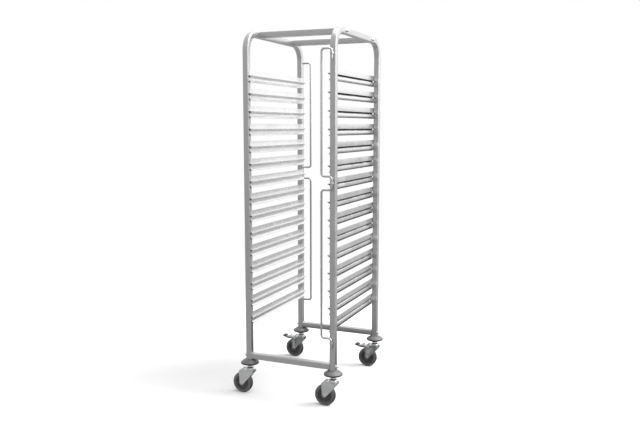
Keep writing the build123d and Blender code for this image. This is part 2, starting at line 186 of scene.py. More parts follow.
def ramp(tree, factor, low, high, to_low, to_high):
    """A number carried from the range low..high to to_low..to_high, clamped."""
    inputs = {"Value": factor, "From Min": low, "From Max": high}
    inputs.update({"To Min": to_low, "To Max": to_high})
    ramped = wire(tree, "ShaderNodeMapRange", inputs, interpolation_type="SMOOTHSTEP")
    return ramped.outputs["Result"]


def total(tree, a, b, operation="ADD"):
    """Two numbers added, or put together in another way."""
    return wire(tree, "ShaderNodeMath", {0: a, 1: b}, operation=operation).outputs["Value"]


def noise(tree, place, scale, detail, **more):
    """A noise texture read at place, with any other inputs in more."""
    inputs = {"Vector": place, "Scale": scale, "Detail": detail, **more}
    return wire(tree, "ShaderNodeTexNoise", inputs)


def axis_of(tree, place, letter):
    """One coordinate of a place."""
    return wire(tree, "ShaderNodeSeparateXYZ", {"Vector": place}).outputs[letter]


def blank_material(name):
    """A material with an empty node tree."""
    made = bpy.data.materials.new(name)
    made.use_nodes = True
    made.node_tree.nodes.clear()
    return made, made.node_tree


# %% The studio's walls
PURE_WHITE = (1, 1, 1, 1)
world = bpy.data.worlds.new("studio")
bpy.context.scene.world = world
world.use_nodes = True
sky = world.node_tree
sky.nodes.clear()
direction = wire(sky, "ShaderNodeTexCoord").outputs["Generated"]
across = wire(sky, "ShaderNodeSeparateXYZ", {"Vector": direction})
from_right = ramp(sky, across.outputs["X"], -0.1, 0.7, 0.0, 0.35)
from_back = ramp(sky, across.outputs["Y"], -0.3, 0.8, 0.0, 0.5)
from_above = ramp(sky, across.outputs["Z"], 0.05, 0.8, 0.0, 0.12)
glow = total(sky, total(sky, from_right, from_above), from_back)
brightness = total(sky, glow, 0.6)
walls = wire(sky, "ShaderNodeBackground", {"Color": PURE_WHITE, "Strength": brightness})
paper = wire(sky, "ShaderNodeBackground", {"Color": PURE_WHITE, "Strength": 1.0})
seen = wire(sky, "ShaderNodeLightPath").outputs["Is Camera Ray"]
both = wire(sky, "ShaderNodeMixShader", {0: seen, 1: walls.outputs[0], 2: paper.outputs[0]})
wire(sky, "ShaderNodeOutputWorld", {"Surface": both.outputs[0]})
bpy.context.scene.view_settings.view_transform = "Standard"


# %% Soft boxes
def softbox(name, place, target, size, power):
    """A square area light at place that faces target."""
    data = bpy.data.lights.new(name, "AREA")
    data.shape = "SQUARE"
    data.size = size
    data.energy = power
    lamp = add_object(name, data)
    lamp.location = place
    lamp.rotation_euler = (target - place).to_track_quat("-Z", "Y").to_euler()


softbox("key_right", Vector((3.2, 0.6, 2.6)), Vector((0, 0, 1.2)), size=2.4, power=60)
softbox("top", Vector((0.4, 0.2, 4.2)), Vector((0, 0, 0.8)), size=2.6, power=60)
sun_data = bpy.data.lights.new("window", "SUN")
sun_data.energy = 1.6
sun_data.angle = math.radians(28)
sun = add_object("window", sun_data)
sun.rotation_euler = Vector((-0.75, -0.35, -1.0)).to_track_quat("-Z", "Y").to_euler()

# %% [markdown]
# ## Floor
#
# The floor is a plain white sweep. Near the rack it is a matt surface that
# takes soft shadows, and further out it turns into the same white as the
# backdrop, so that no horizon line shows. Steel would mirror all that white,
# so to every ray but the camera's the floor is a dull grey glow. That glow
# paints the shade that the steel reflects. The painted shade is darkest under
# the rack and just behind it, and again far off to the back left.

# %% Make the floor
floor_mesh = bpy.data.meshes.new("floor")
FLOOR_HALF = 30.0
floor_corners = [(-FLOOR_HALF, -FLOOR_HALF, 0), (FLOOR_HALF, -FLOOR_HALF, 0)]
floor_corners += [(FLOOR_HALF, FLOOR_HALF, 0), (-FLOOR_HALF, FLOOR_HALF, 0)]
floor_mesh.from_pydata(floor_corners, [], [(0, 1, 2, 3)])
floor = add_object("floor", floor_mesh)

paint, tree = blank_material("white_sweep")
ground = wire(tree, "ShaderNodeTexCoord").outputs["Object"]
distance = wire(tree, "ShaderNodeVectorMath", {0: ground}, operation="LENGTH").outputs["Value"]
grit = noise(tree, ground, 900.0, 2.0)
shade = ramp(tree, grit.outputs["Fac"], 0.3, 0.7, 0.86, 0.9)
tone = wire(tree, "ShaderNodeCombineColor", {0: shade, 1: shade, 2: shade}).outputs["Color"]
matt = wire(tree, "ShaderNodeBsdfDiffuse", {"Color": tone, "Roughness": 1.0})
white = wire(tree, "ShaderNodeEmission", {"Color": PURE_WHITE, "Strength": 1.0})
far = ramp(tree, distance, 0.9, 2.4, 0.0, 1.0)
sweep = wire(tree, "ShaderNodeMixShader", {0: far, 1: matt.outputs[0], 2: white.outputs[0]})
# painted shade for every ray but the camera's: the glow is dimmer in front, darkest round a point
# under and just behind the rack, and dim far off to the back left
by_depth = ramp(tree, axis_of(tree, ground, "Y"), -1.5, 2.0, 0.46, 0.6)
shade_centre = {0: ground, 1: (0.1, 0.3, 0.0)}
from_shade_centre = wire(tree, "ShaderNodeVectorMath", shade_centre, operation="DISTANCE")
by_distance = ramp(tree, from_shade_centre.outputs["Value"], 0.5, 1.1, 0.12, 0.8)
back_left = {0: ground, 1: (-0.7, 0.7, 0.0)}
to_back_left = wire(tree, "ShaderNodeVectorMath", back_left, operation="DOT_PRODUCT")
far_behind = ramp(tree, to_back_left.outputs["Value"], 6.0, 9.0, 0.8, 0.22)
nearest = total(tree, by_depth, total(tree, by_distance, far_behind, "MINIMUM"), "MINIMUM")
dull = wire(tree, "ShaderNodeEmission", {"Strength": nearest})
direct = wire(tree, "ShaderNodeLightPath").outputs["Is Camera Ray"]
looks = {0: direct, 1: dull.outputs[0], 2: sweep.outputs[0]}
ground_look = wire(tree, "ShaderNodeMixShader", looks)
wire(tree, "ShaderNodeOutputMaterial", {"Surface": ground_look.outputs[0]})
floor_mesh.materials.append(paint)

# %% [markdown]
# ## Effects that several finishes share
#
# Three shader groups do the fine work. The first is the grain that drawing
# and polishing leave: noise stretched some eighty times along the piece. The
# second is handling: broad smudges where the steel has been wiped and
# touched. The third is scuffing: short bright scratches. Each gives a plain
# mask, and a material decides what to do with it.


# %% Build the shader groups
def group(name, inputs, outputs):
    """An empty shader group with float or vector sockets, and its two end nodes."""
    made = bpy.data.node_groups.new(name, "ShaderNodeTree")
    for label, kind, value in inputs:
        socket = made.interface.new_socket(label, in_out="INPUT", socket_type=kind)
        if value is not None:
            socket.default_value = value
    for label, kind in outputs:
        made.interface.new_socket(label, in_out="OUTPUT", socket_type=kind)
    start = made.nodes.new("NodeGroupInput")
    end = made.nodes.new("NodeGroupOutput")
    return made, start, end


FLOAT, VECTOR = "NodeSocketFloat", "NodeSocketVector"
grain, start, end = group(
    "brushed_grain",
    [("Place", VECTOR, None), ("Fineness", FLOAT, 900.0), ("Stretch", FLOAT, 0.012)],
    [("Lines", FLOAT), ("Bands", FLOAT)],
)
parts = wire(grain, "ShaderNodeSeparateXYZ", {"Vector": start.outputs["Place"]}).outputs
along = total(grain, parts["X"], start.outputs["Stretch"], "MULTIPLY")
squeezed = wire(grain, "ShaderNodeCombineXYZ", {"X": along, "Y": parts["Y"], "Z": parts["Z"]})
lines = noise(grain, squeezed.outputs[0], start.outputs["Fineness"], 3.0, Roughness=0.6)
coarse = total(grain, start.outputs["Fineness"], 0.12, "MULTIPLY")
bands = noise(grain, squeezed.outputs[0], coarse, 2.0)
grain.links.new(ramp(grain, lines.outputs["Fac"], 0.3, 0.7, 0.0, 1.0), end.inputs["Lines"])
grain.links.new(ramp(grain, bands.outputs["Fac"], 0.3, 0.7, 0.0, 1.0), end.inputs["Bands"])

smudge, start, end = group(
    "handling_smudges",
    [("Place", VECTOR, None), ("Size", FLOAT, 9.0)],
    [("Smudge", FLOAT)],
)
cloud = noise(smudge, start.outputs["Place"], start.outputs["Size"], 4.0, Distortion=0.6)
smudge.links.new(ramp(smudge, cloud.outputs["Fac"], 0.42, 0.68, 0.0, 1.0), end.inputs["Smudge"])

scuff, start, end = group(
    "scuff_marks",
    [("Place", VECTOR, None), ("Density", FLOAT, 60.0)],
    [("Scratch", FLOAT)],
)
warp = noise(scuff, start.outputs["Place"], 14.0, 2.0)
warp_inputs = {0: warp.outputs["Color"], "Scale": 0.02}
offset = wire(scuff, "ShaderNodeVectorMath", warp_inputs, operation="SCALE")
bent_inputs = {0: start.outputs["Place"], 1: offset.outputs["Vector"]}
bent = wire(scuff, "ShaderNodeVectorMath", bent_inputs, operation="ADD")
cell_inputs = {"Vector": bent.outputs["Vector"], "Scale": start.outputs["Density"]}
cells = wire(scuff, "ShaderNodeTexVoronoi", cell_inputs, feature="DISTANCE_TO_EDGE")
patch = noise(scuff, start.outputs["Place"], 25.0, 1.0)
hair = ramp(scuff, cells.outputs["Distance"], 0.0, 0.02, 1.0, 0.0)
where = ramp(scuff, patch.outputs["Fac"], 0.55, 0.65, 0.0, 1.0)
scuff.links.new(total(scuff, hair, where, "MULTIPLY"), end.inputs["Scratch"])
print("shader groups:", [g.name for g in bpy.data.node_groups])

# %% [markdown]
# ## Steel
#
# Every steel part is the same metal with a different history. Tubes are
# polished along their length, so their grain follows the sweep and needs UV
# coordinates that run along it. Pressed and plated castor parts have no
# direction, so their grain is read from object coordinates. Roughness varies
# with the grain and the smudges, and a Bump node turns the lines into a
# surface that catches light. On the runners the insides of the folds are
# painted near black: that is painted shade.


# %% Make a steel
ALONG_UV, EVERY_WAY = 0.012, 0.35  # how much the grain is squeezed, so that it looks stretched


def blend_colors(tree, factor, low, high):
    """A colour between low and high, each given or linked."""
    return wire(tree, "ShaderNodeMix", {0: factor, 6: low, 7: high}, data_type="RGBA").outputs[2]


def grey(value, warmth=0.0):
    """A neutral colour, a little warmer or cooler."""
    return (value * (1 + warmth), value, value * (1 - warmth), 1.0)


def weld_polish(tree, place):
    """A mask that is 1 on the front of the rear uprights where a runner is welded on.

    The height above the lowest shelf is folded at every level, so that it is
    0 on a level and half a pitch midway between two."""
    axes = wire(tree, "ShaderNodeSeparateXYZ", {"Vector": place})
    depth, height = axes.outputs["Y"], axes.outputs["Z"]
    face = frame_high[1] - tube
    behind = ramp(tree, depth, face - 0.02, face - 0.01, 0.0, 1.0)
    before = ramp(tree, depth, face + 0.001, face + 0.004, 1.0, 0.0)
    at_rear = total(tree, behind, before, "MULTIPLY")
    above = total(tree, height, shelf_heights[0], "SUBTRACT")
    from_level = total(tree, above, level_pitch / 2, "PINGPONG")
    on_level = ramp(tree, from_level, 0.004, 0.016, 1.0, 0.0)
    over_low = ramp(tree, above, -0.03, -0.02, 0.0, 1.0)
    under_high = ramp(tree, height, shelf_heights[-1] + 0.02, shelf_heights[-1] + 0.03, 1.0, 0.0)
    between = total(tree, over_low, under_high, "MULTIPLY")
    return total(tree, at_rear, total(tree, on_level, between, "MULTIPLY"), "MULTIPLY")


def finish_surface(tree, colour, roughness, height, bump, depth, metallic):
    """The shader itself, with a Bump node that turns height into relief."""
    relief_inputs = {"Height": height, "Strength": bump, "Distance": depth}
    relief = wire(tree, "ShaderNodeBump", relief_inputs).outputs["Normal"]
    inputs = {"Base Color": colour, "Roughness": roughness, "Metallic": metallic, "Normal": relief}
    shader = wire(tree, "ShaderNodeBsdfPrincipled", inputs)
    wire(tree, "ShaderNodeOutputMaterial", {"Surface": shader.outputs[0]})


def steel(
    name, dark, light, rough, along_uv, fineness, bump, smudges=9.0, welded=False, folded=False
):
    """A metal whose colour, roughness and height follow grain and handling, and whose colour can
    carry painted shade inside folds.
    """
    made, tree = blank_material(name)
    coordinates = wire(tree, "ShaderNodeTexCoord")
    here = coordinates.outputs["Object"]
    run = coordinates.outputs["UV" if along_uv else "Object"]
    stretch = ALONG_UV if along_uv else EVERY_WAY
    rub_inputs = {"Place": run, "Fineness": fineness, "Stretch": stretch}
    rub = wire(tree, "ShaderNodeGroup", rub_inputs, node_tree=grain)
    touch = wire(tree, "ShaderNodeGroup", {"Place": here, "Size": smudges}, node_tree=smudge)
    marks = wire(tree, "ShaderNodeGroup", {"Place": here}, node_tree=scuff)
    streaks = total(tree, rub.outputs["Lines"], 0.5, "MULTIPLY")
    tone = total(tree, streaks, total(tree, rub.outputs["Bands"], 0.5, "MULTIPLY"))
    base = blend_colors(tree, tone, dark, light)
    scratched = total(tree, marks.outputs["Scratch"], 0.35, "MULTIPLY")
    colour = blend_colors(tree, scratched, base, grey(0.85))
    if welded:
        ground_back = weld_polish(tree, here)
        patchy = ramp(tree, touch.outputs["Smudge"], 0.0, 1.0, 0.5, 0.9)
        polished = total(tree, ground_back, patchy, "MULTIPLY")
        colour = blend_colors(tree, polished, colour, grey(0.90))
    # painted shade: a runner's colour goes towards near black inside its folds
    if folded:
        inner = wire(tree, "ShaderNodeAttribute", attribute_name="inside_fold_shade").outputs["Fac"]
        colour = blend_colors(tree, ramp(tree, inner, 0.0, 1.0, 0.0, 0.92), colour, grey(0.02))
    wiped = ramp(tree, touch.outputs["Smudge"], 0.0, 1.0, -0.05, 0.07)
    line_rough = ramp(tree, rub.outputs["Lines"], 0.0, 1.0, rough - 0.05, rough + 0.05)
    roughness = total(tree, line_rough, wiped)
    finish_surface(tree, colour, roughness, rub.outputs["Lines"], bump, 0.4 * MM, 1.0)
    return made


finishes = {
    "tube_steel": steel(
        "tube_steel", grey(0.52), grey(0.60), rough=0.36, along_uv=True, fineness=1100.0,
        bump=0.04, welded=True,
    ),
    "runner_steel": steel(
        "runner_steel", grey(0.71), grey(0.76), rough=0.32, along_uv=True, fineness=1300.0,
        bump=0.012, folded=True,
    ),
    "rod_steel": steel(
        "rod_steel", grey(0.50), grey(0.62), rough=0.22, along_uv=True, fineness=1800.0,
        bump=0.03,
    ),
    "fastener_steel": steel(
        "fastener_steel", grey(0.62, 0.01), grey(0.74, 0.01), rough=0.18, along_uv=False,
        fineness=700.0, bump=0.03,
    ),
    "castor_steel": steel(
        "castor_steel", grey(0.68, -0.01), grey(0.78, -0.01), rough=0.34, along_uv=False,
        fineness=500.0, bump=0.05, smudges=30.0,
    ),
    "ball_steel": steel(
        "ball_steel", grey(0.60), grey(0.70), rough=0.10, along_uv=False, fineness=900.0,
        bump=0.01,
    ),
}

# %% [markdown]
# ## Rubber and plastic
#
# The tyres are a grey non-marking rubber, matt, a little paler where they
# have rolled through flour and dust. The bumpers are a slightly glossy
# moulding with a faint leathery texture. The pedal tips are black vinyl.
# The tyres' treads, shoulders and ring floors and the bumpers' rims and
# undersides get painted shade: their colour goes towards near black.


# %% Make a moulded material
def moulded(name, dark, light, rough, texture, bump, dust, painted_shade=None):
    """A plastic or rubber: mottled colour, pebbled surface, dust where it is worn.

    The optional last argument is a function that wires a mask of painted shade, 1 where the
    moulding is painted darkest."""
    made, tree = blank_material(name)
    place = wire(tree, "ShaderNodeTexCoord").outputs["Object"]
    touch = wire(tree, "ShaderNodeGroup", {"Place": place, "Size": 40.0}, node_tree=smudge)
    marks = wire(tree, "ShaderNodeGroup", {"Place": place, "Density": 90.0}, node_tree=scuff)
    pebble = noise(tree, place, texture, 3.0)
    base = blend_colors(tree, pebble.outputs["Fac"], dark, light)
    worn = total(tree, touch.outputs["Smudge"], dust, "MULTIPLY")
    powder = total(tree, worn, total(tree, marks.outputs["Scratch"], dust, "MULTIPLY"))
    colour = blend_colors(tree, powder, base, grey(0.45, 0.02))
    # painted shade: the masked parts of the moulding go towards near black
    if painted_shade:
        colour = blend_colors(tree, painted_shade(tree, place), colour, grey(0.018))
    roughness = ramp(tree, touch.outputs["Smudge"], 0.0, 1.0, rough - 0.06, rough + 0.08)
    finish_surface(tree, colour, roughness, pebble.outputs["Fac"], bump, 0.5 * MM, 0.0)
    return made


tyre_low, tyre_high = span("castor_tyre_front_left")
wheel_line = abs((tyre_low[1] + tyre_high[1]) / 2)
tyre_half = (tyre_high[1] - tyre_low[1]) / 2
bumper_line = span("bumper_front_left")[0][2] + RIM_HEIGHT


def tread_shade(tree, place):
    """Painted shade on the tread, the shoulders and the ring's floor, which lie inside the side
    faces.
    """
    across = total(tree, axis_of(tree, place, "Y"), 0.0, "ABSOLUTE")
    off_row = total(tree, across, wheel_line, "SUBTRACT")
    off_plane = total(tree, off_row, 0.0, "ABSOLUTE")
    return ramp(tree, off_plane, tyre_half - 0.0022, tyre_half - 0.0003, 0.8, 0.0)


def rim_shade(tree, place):
    """Painted shade on a bumper's rim and underside, fading out where its bell begins."""
    height = axis_of(tree, place, "Z")
    return ramp(tree, height, bumper_line + 0.001, bumper_line + 0.006, 0.85, 0.0)


finishes["bumper_plastic"] = moulded(
    "bumper_plastic", grey(0.12), grey(0.17), rough=0.40, texture=1400.0, bump=0.10, dust=0.10,
    painted_shade=rim_shade,
)
finishes["plug_plastic"] = moulded(
    "plug_plastic", grey(0.02), grey(0.04), rough=0.5, texture=900.0, bump=0.1, dust=0.05
)
finishes["tyre_rubber"] = moulded(
    "tyre_rubber", grey(0.16), grey(0.20), rough=0.58, texture=1100.0, bump=0.2, dust=0.12,
    painted_shade=tread_shade,
)
finishes["hub_plastic"] = moulded(
    "hub_plastic", grey(0.07), grey(0.10), rough=0.45, texture=900.0, bump=0.12, dust=0.08
)
finishes["pad_plastic"] = moulded(
    "pad_plastic", grey(0.012), grey(0.025), rough=0.5, texture=1600.0, bump=0.25, dust=0.05
)
print("finishes:", sorted(finishes))

# %% [markdown]
# ## Surfaces worked out as arrays
#
# A tube, a rod and a folded strip are all one outline carried along a path.
# A wheel and a bumper are one outline turned about an axis. Both are grids:
# row i is the outline at the i-th station. Worked out with numpy, the whole
# grid is two or three array expressions, and the faces are index arithmetic.


# %% Turn a grid of points into an object
def refine(mesh, change=None):
    """Changes a mesh through bmesh, then turns every face outward."""
    scratch = bmesh.new()
    scratch.from_mesh(mesh)
    if change:
        change(scratch)
    bmesh.ops.recalc_face_normals(scratch, faces=scratch.faces)
    scratch.to_mesh(mesh)
    scratch.free()


def grid_faces(rows, columns, close_rows):
    """Quads between neighbours on a grid whose columns run round a closed outline.

    Face (i, j) joins point (i, j), (i, j+1), (i+1, j+1) and (i+1, j)."""
    i = np.arange(rows if close_rows else rows - 1)[:, None]
    j = np.arange(columns)[None, :]
    i_next, j_next = (i + 1) % rows, (j + 1) % columns
    here, there = i * columns, i_next * columns
    corners = [here + j, here + j_next, there + j_next, there + j]
    return np.stack(corners, axis=-1).reshape(-1, 4)


def make_piece(name, points, faces, uv, body, slot, nodes, smooth_angle=35.0):
    """An object from points, quads and one (u, v) per face corner, riding on body."""
    mesh = bpy.data.meshes.new(name)
    mesh.vertices.add(len(points))
    mesh.vertices.foreach_set("co", np.asarray(points, dtype=np.float32).ravel())
    mesh.loops.add(faces.size)
    mesh.loops.foreach_set("vertex_index", faces.ravel().astype(np.int32))
    mesh.polygons.add(len(faces))
    mesh.polygons.foreach_set("loop_start", np.arange(0, faces.size, 4, dtype=np.int32))
    mesh.update(calc_edges=True)
    layer = mesh.uv_layers.new(name="along_and_round")
    layer.data.foreach_set("uv", np.asarray(uv, dtype=np.float32).ravel())
    mesh.validate()
    refine(mesh)
    mesh.shade_smooth()
    mesh.set_sharp_from_angle(angle=math.radians(smooth_angle))
    mesh.materials.append(finishes[slot])
    piece = add_object(name, mesh)
    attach(piece, body)
    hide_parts(*nodes)
    return piece


# %% Paths and outlines
def rounded_path(corners, radius, steps):
    """A polyline whose inner corners are arcs of one radius.

    At each corner the arc touches both runs at radius / tan(half the angle)
    from the corner, and its points turn evenly about its centre."""
    corners = np.asarray(corners, dtype=float)
    path = [corners[:1]]
    for before, here, after in zip(corners, corners[1:], corners[2:]):
        u = (before - here) / np.linalg.norm(before - here)
        v = (after - here) / np.linalg.norm(after - here)
        half = math.acos(np.clip(u @ v, -1, 1)) / 2
        centre = here + (u + v) / np.linalg.norm(u + v) * radius / math.sin(half)
        first = here + u * radius / math.tan(half) - centre
        last = here + v * radius / math.tan(half) - centre
        turn = math.pi - 2 * half
        t = np.linspace(0, 1, steps + 1)[:, None]
        spokes = np.sin((1 - t) * turn) * first + np.sin(t * turn) * last
        path.append(centre + spokes / math.sin(turn))
    path.append(corners[-1:])
    return np.concatenate(path)


def rounded_square(size, corner, steps=5):
    """A square outline whose corners are quarter circles, counter-clockwise."""
    inner = size / 2 - corner
    angle = np.linspace(0, math.pi / 2, steps + 1)
    quarter = np.stack([inner + corner * np.cos(angle), inner + corner * np.sin(angle)], axis=1)
    quarters = np.arange(4) * math.pi / 2
    turns = [np.array([[math.cos(a), -math.sin(a)], [math.sin(a), math.cos(a)]]) for a in quarters]
    return np.concatenate([quarter @ turn.T for turn in turns])


def lengths(points, closed=False):
    """Distance from the first point to each point along a line."""
    last = points[:1] if closed else points[:0]
    steps = np.linalg.norm(np.diff(np.concatenate([points, last]), axis=0), axis=1)
    return np.concatenate([[0.0], np.cumsum(steps)])


def carry(outline, path, normal):
    """Points of a flat path's sweep: path + a * normal + b * (tangent x normal).

    The normal is the same everywhere, because the path stays in one plane."""
    tangent = np.gradient(path, axis=0)
    tangent /= np.linalg.norm(tangent, axis=1)[:, None]
    across = np.cross(tangent, normal)
    a = outline[None, :, 0, None] * np.asarray(normal, dtype=float)
    b = outline[None, :, 1, None] * across[:, None, :]
    return path[:, None, :] + a + b


def grid_uv(along, around):
    """UVs of a grid's quads: u is the distance along, v the distance around."""
    i, j = np.indices((len(along) - 1, len(around) - 1))
    u = np.stack([along[i], along[i], along[i + 1], along[i + 1]], axis=-1)
    v = np.stack([around[j], around[j + 1], around[j + 1], around[j]], axis=-1)
    return np.stack([u, v], axis=-1).reshape(-1, 2)


# %% [markdown]
# ## Tubes
#
# A tube is an outer and an inner skin, joined by a narrow ring at each open
# end. Joining them makes one closed surface, so the wall has a real
# thickness where it shows under the bumpers.


# %% Make a tube
LONGEST_STEP = 60.0 * MM


def tube_mesh(path, normal):
    """Points, quads and UVs of a square tube carried along a path.

    The outer skin is the outline at full size, the inner one the same outline
    less the wall, and the two skins meet in a ring of quads at each end."""
    outer = rounded_square(tube, TUBE_CORNER)
    inner = rounded_square(tube - 2 * TUBE_WALL, TUBE_CORNER - TUBE_WALL)
    rows, columns = len(path), len(outer)
    skins = [carry(skin, path, normal).reshape(-1, 3) for skin in (outer, inner)]
    skin_size = rows * columns
    side = grid_faces(rows, columns, False)
    j = np.arange(columns)
    step = (j + 1) % columns
    rings = []
    for first in (0, skin_size - columns):
        edge = [first + j, first + step, first + step + skin_size, first + j + skin_size]
        rings.append(np.stack(edge, axis=-1))
    faces = np.concatenate([side, side[:, ::-1] + skin_size, *rings])
    run = lengths(path)
    side_uv = grid_uv(run, lengths(outer, closed=True))
    flipped = side_uv.reshape(-1, 4, 2)[:, ::-1].reshape(-1, 2)
    ring_uv = np.zeros((2 * columns * 4, 2))
    return np.concatenate(skins), faces, np.concatenate([side_uv, flipped, ring_uv])


def subdivide(path, longest):
    """The same line with extra points, so that no step is over longest."""
    pieces = []
    for start, stop in zip(path, path[1:]):
        count = max(1, math.ceil(np.linalg.norm(stop - start) / longest))
        pieces.append(start + (stop - start) * np.linspace(0, 1, count, endpoint=False)[:, None])
    return np.concatenate([*pieces, path[-1:]])


for side in ("left", "right"):
    node = f"side_frame_{side}"
    low, high = span(node)
    x = (low[0] + high[0]) / 2
    front, back = low[1] + tube / 2, high[1] - tube / 2
    foot, top = low[2], high[2] - tube / 2
    corners = [(x, front, foot), (x, front, top), (x, back, top), (x, back, foot)]
    path = subdivide(rounded_path(corners, ARCH_RADIUS, steps=18), LONGEST_STEP)
    piece = make_piece(f"{node}_skin", *tube_mesh(path, (1, 0, 0)), "rack", "tube_steel", [node])
    print(piece.name, len(piece.data.polygons), "faces")

for bar in ("lower_front", "lower_rear", "upper_front", "upper_rear"):
    node = f"crossbar_{bar}"
    low, high = span(node)
    _, y, z = (low + high) / 2
    path = subdivide(np.array([(low[0], y, z), (high[0], y, z)]), LONGEST_STEP)
    make_piece(f"{node}_skin", *tube_mesh(path, (0, 0, 1)), "rack", "tube_steel", [node])

# %% [markdown]
# ## Tray runners
#
# A runner is one strip of sheet, folded so that a hollow bead carries the
# tray's rim and a smaller bead stiffens the lower edge. The strip's middle
# line is a path with small bends. Half the sheet on each side of it gives the
# outline, and that outline runs straight along Y.


# %% Make a runner pair
OTHER_GRAIN = 0.37  # moves the right runner's UVs, so that the two don't share their grain


def strip_outline(middle_line, thickness):
    """Both sides of a strip: its middle line moved by half the thickness each way."""
    tangent = np.gradient(middle_line, axis=0)
    tangent /= np.linalg.norm(tangent, axis=1)[:, None]
    normal = np.stack([-tangent[:, 1], tangent[:, 0]], axis=1)
    return middle_line + normal * thickness / 2, middle_line - normal * thickness / 2


def runner_mesh(low_y, high_y, web_x, shelf, side):
    """Points, quads, UVs and inside mask of one runner with its web on the plane x = web_x.

    side is +1 where the runner stands out towards +X, -1 towards -X. A point
    is inside a fold when it is on the strip's second side and off the web;
    the runner's finish paints shade there."""
    half = SHEET / 2
    fold = [(half, WEB_ABOVE), (half, -half), (SHELF_REACH - half, -half), (half, -SHELF_DROP)]
    fold += [(half, -BEAD_TOP), (BEAD_REACH - half, half - BEAD_LOW), (half, half - BEAD_LOW)]
    line = rounded_path(fold, FOLD_RADIUS, steps=4)
    one, other = strip_outline(line, SHEET)
    outline = np.concatenate([one, other[::-1]])
    count = len(line)
    stations = np.linspace(low_y, high_y, 9)
    x = web_x + side * np.broadcast_to(outline[:, 0], (len(stations), len(outline)))
    y = np.broadcast_to(stations[:, None], x.shape)
    z = shelf + np.broadcast_to(outline[:, 1], x.shape)
    points = np.stack([x, y, z], axis=-1).reshape(-1, 3)
    side_faces = grid_faces(len(stations), len(outline), False)
    k = np.arange(count - 1)
    last = (len(stations) - 1) * len(outline)
    pair = 2 * count - 1 - k
    cap = np.stack([k, k + 1, pair - 1, pair], axis=-1)
    faces = np.concatenate([side_faces, cap, cap + last])
    side_uv = grid_uv(stations, lengths(outline, closed=True))
    cap_uv = np.zeros((2 * len(cap) * 4, 2))
    off_web = np.concatenate([np.zeros(count), line[::-1, 0] > half + 0.4 * MM])
    inside = np.broadcast_to(off_web, (len(stations), len(outline))).ravel()
    return points, faces, np.concatenate([side_uv, cap_uv]), inside


for node in runner_nodes:
    low, high = span(node)
    shelf = high[2] - WEB_ABOVE
    left = runner_mesh(low[1], high[1], low[0], shelf, 1)
    right = runner_mesh(low[1], high[1], high[0], shelf, -1)
    points = np.concatenate([left[0], right[0]])
    faces = np.concatenate([left[1], right[1] + len(left[0])])
    uv = np.concatenate([left[2], right[2] + (0.0, OTHER_GRAIN)])
    piece = make_piece(f"{node}_skin", points, faces, uv, "rack", "runner_steel", [node])
    # the mask marks the inside of the folds, where the runner's finish paints shade
    mask = piece.data.attributes.new("inside_fold_shade", "FLOAT", "POINT")
    mask.data.foreach_set("value", np.concatenate([left[3], right[3]]).astype(np.float32))
print("a runner pair has", len(piece.data.polygons), "faces")

# %% [markdown]
# ## Retaining bars
#
# Each bar is a round rod bent into two loops. Its path lies flat in one plane,
# so the same carry function serves, with a circle for an outline. The ends are
# domed: the last stations shrink as the cosine of an angle that grows to a
# quarter turn, and the pinhole that is left at the tip is filled.


# %% Make the two bars
def rod_mesh(path, radius, normal, around=20, dome=5):
    """A round rod with domed ends along a flat path.

    In the dome the radius is r cos(a) and the centre moves on by r sin(a)."""
    angle = np.linspace(0, math.pi / 2, dome + 1)[1:]
    start_way = (path[0] - path[1]) / np.linalg.norm(path[0] - path[1])
    end_way = (path[-1] - path[-2]) / np.linalg.norm(path[-1] - path[-2])
    inset = radius * np.sin(angle)[:, None]
    tight = np.maximum(np.cos(angle), 0.02)
    first = path[0] - start_way * radius
    last = path[-1] - end_way * radius
    start_dome = (first + start_way * inset)[::-1]
    end_dome = last + end_way * inset
    stations = np.concatenate([start_dome, first[None], path[1:-1], last[None], end_dome])
    scale = np.concatenate([tight[::-1], np.ones(len(path)), tight])
    turn = np.linspace(0, 2 * math.pi, around, endpoint=False)
    circle = np.stack([np.cos(turn), np.sin(turn)], axis=1) * radius
    grid = carry(circle, stations, normal)
    grid = stations[:, None, :] + (grid - stations[:, None, :]) * scale[:, None, None]
    faces = grid_faces(len(stations), around, False)
    uv = grid_uv(lengths(stations), lengths(circle, closed=True))
    return grid.reshape(-1, 3), faces, uv


def fill_holes(scratch):
    """Fills the open loop left at each end of a rod."""
    bmesh.ops.holes_fill(scratch, edges=[e for e in scratch.edges if e.is_boundary])


for end, side in (("front", 1), ("rear", -1)):
    node = f"retaining_bar_{end}"
    low, high = span(node)
    radius = (high[1] - low[1]) / 2
    y = (low[1] + high[1]) / 2
    pivot, reach = (high[0] - radius, low[0] + radius)[::side]
    top = high[2] - radius
    upper_end = top - UPPER_LOOP
    lower_start = upper_end - LOOP_GAP
    foot = low[2] + ROD_TAIL
    levels = [(pivot, top - ROD_TAIL), (pivot, top), (reach, top), (reach, upper_end)]
    levels += [(pivot, upper_end), (pivot, lower_start), (reach, lower_start)]
    levels += [(reach, foot), (pivot, foot), (pivot, low[2])]
    corners = [(x, y, z) for x, z in levels]
    path = subdivide(rounded_path(corners, ROD_BEND, steps=10), 50.0 * MM)
    rod = rod_mesh(path, radius, (0, 1, 0))
    piece = make_piece(
        f"{node}_skin", *rod, f"{end}_bar", "rod_steel", [node], smooth_angle=60.0
    )
    refine(piece.data, fill_holes)
    piece.data.shade_smooth()
    print(piece.name, len(piece.data.polygons), "faces")


# %% [markdown]
# ## Turned pieces
#
# Tyres, hubs and bumpers are outlines turned about an axis. An outline that
# closes on itself and never meets the axis gives a ring, so there is no pole
# to close: the grid joins up both ways.


